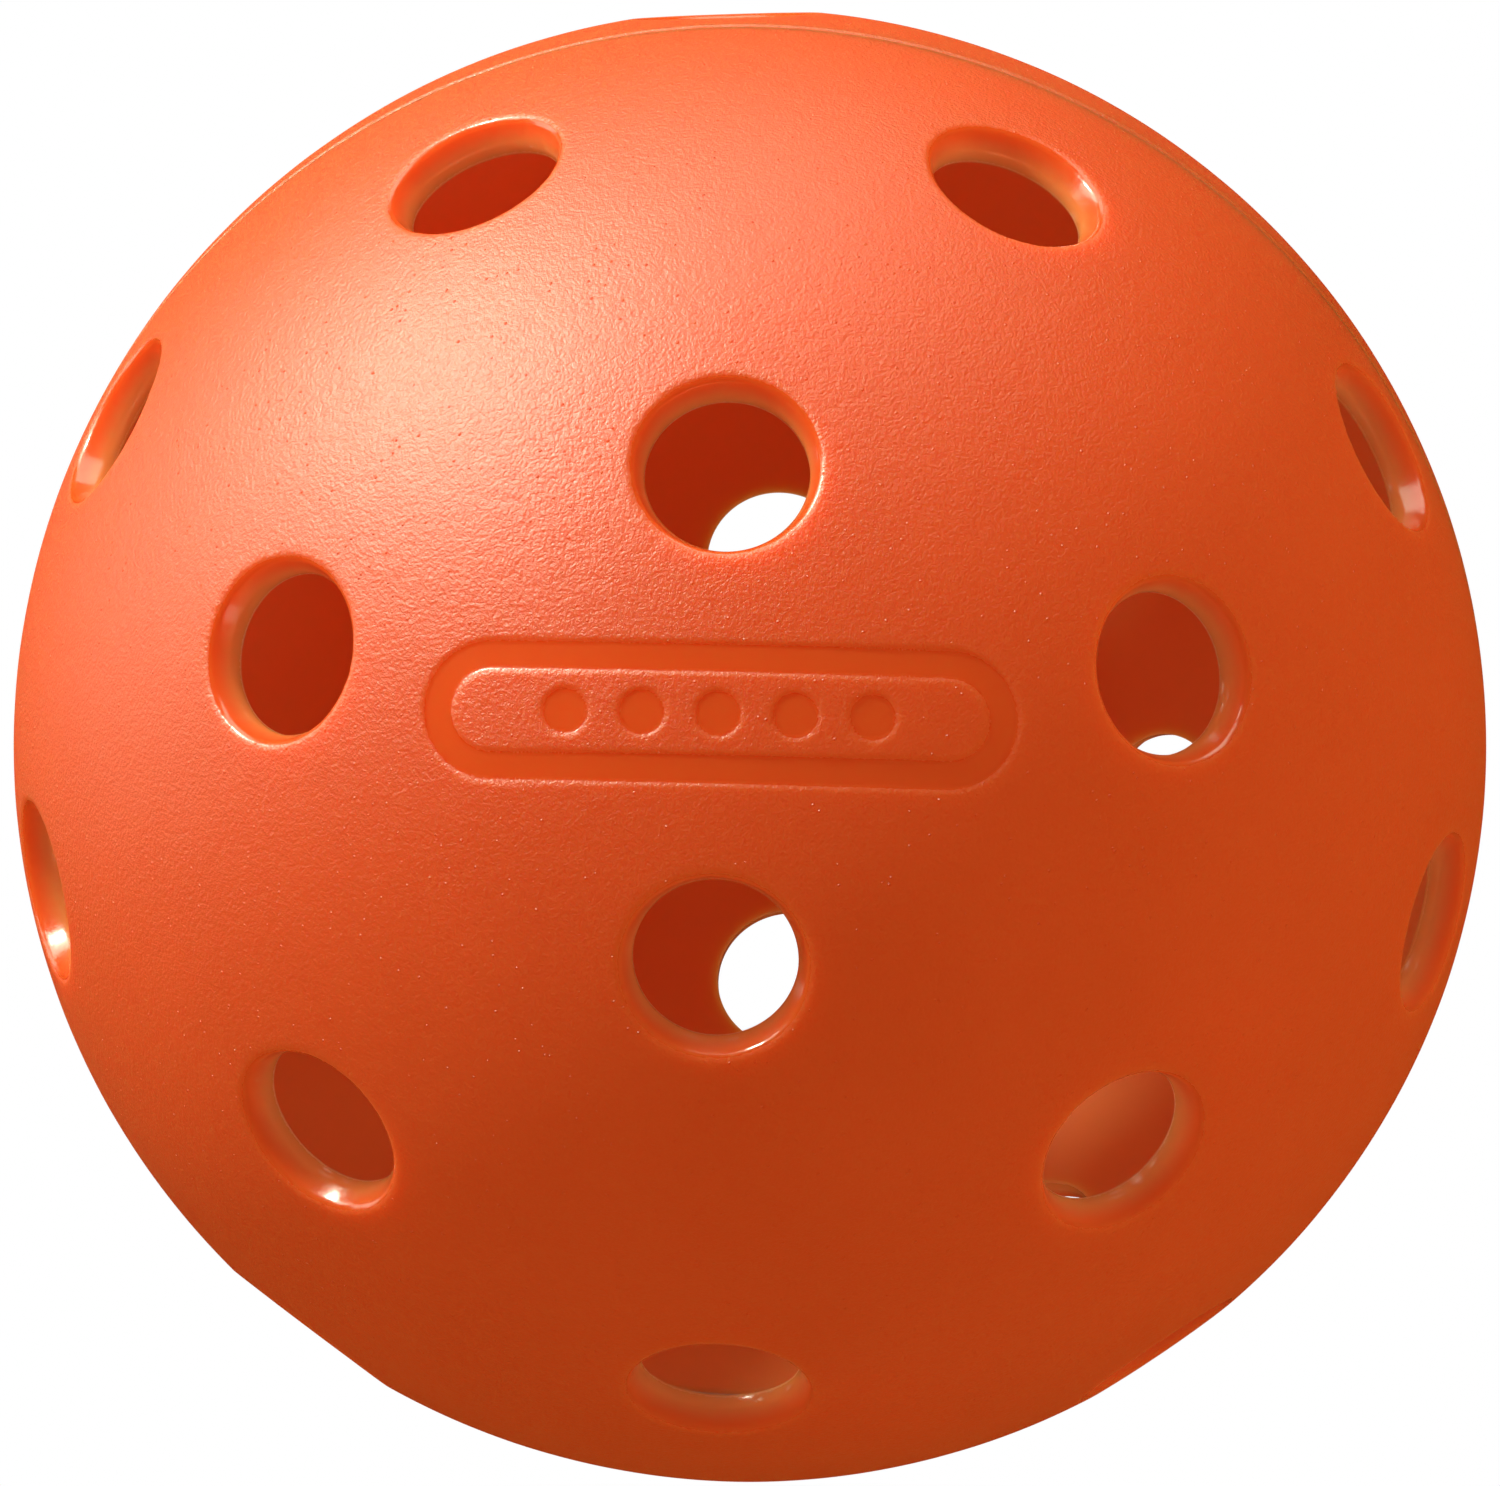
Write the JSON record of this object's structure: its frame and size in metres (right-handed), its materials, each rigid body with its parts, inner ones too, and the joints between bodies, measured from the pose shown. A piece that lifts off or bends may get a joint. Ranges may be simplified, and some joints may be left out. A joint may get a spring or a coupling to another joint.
{
  "type": "pickleball ball",
  "caption": "Hollow moulded plastic ball with evenly spaced round holes through its wall, welded round the middle from two half shells.",
  "frame": {"origin": "the ball's centre", "axes": "Y is the weld axis, through the centres of two opposite holes, with the front half shell on the -Y side; the weld lies in the XZ plane; the moulded mark is on the +Z side of the front pole; +X is to the right as the mark is faced"},
  "size_m": [0.074, 0.0734, 0.074],
  "materials": {
    "shell_plastic": "satin moulded polyethylene with a fine orange-peel texture",
    "weld_plastic": "the same plastic, melted and set smooth"
  },
  "bodies": {
    "root": {"front_half_shell": "shell_plastic", "back_half_shell": "shell_plastic", "weld_bead": "weld_plastic"}
  },
  "joints": []
}
